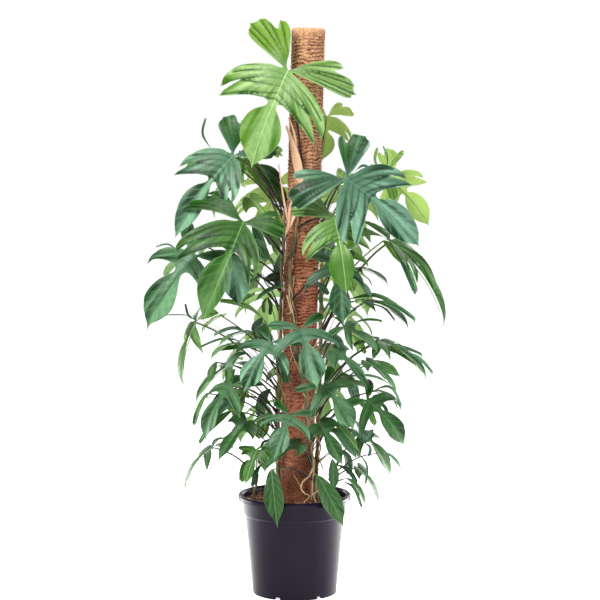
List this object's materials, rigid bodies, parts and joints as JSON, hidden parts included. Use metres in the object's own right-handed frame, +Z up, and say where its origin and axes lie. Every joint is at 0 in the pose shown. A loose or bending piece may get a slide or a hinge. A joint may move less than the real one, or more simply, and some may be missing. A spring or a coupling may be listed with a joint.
{
  "type": "potted climbing philodendron on a coir pole",
  "caption": "Climbing house plant with deeply lobed leaves, trained up a coir moss pole in a round nursery pot with drain holes.",
  "frame": {"origin": "middle of the pot's underside, on the surface it stands on", "axes": "+Z up along the pot's axis, -Y the plant's front, +X its right as seen from the front"},
  "size_m": [0.7288, 0.4574, 1.4036],
  "materials": {
    "pot_plastic": "gloss",
    "potting_soil": "matte",
    "stake_wood": "matte",
    "coir": "matte",
    "foliage": "satin"
  },
  "bodies": {
    "root": {"pot": "pot_plastic", "soil": "potting_soil", "pole_stake": "stake_wood", "pole_coir": "coir", "stem_front": "foliage", "stem_left": "foliage", "stem_right": "foliage", "stem_back_left": "foliage", "stem_back_right": "foliage", "shoot_left": "foliage", "shoot_right": "foliage"}
  },
  "joints": []
}
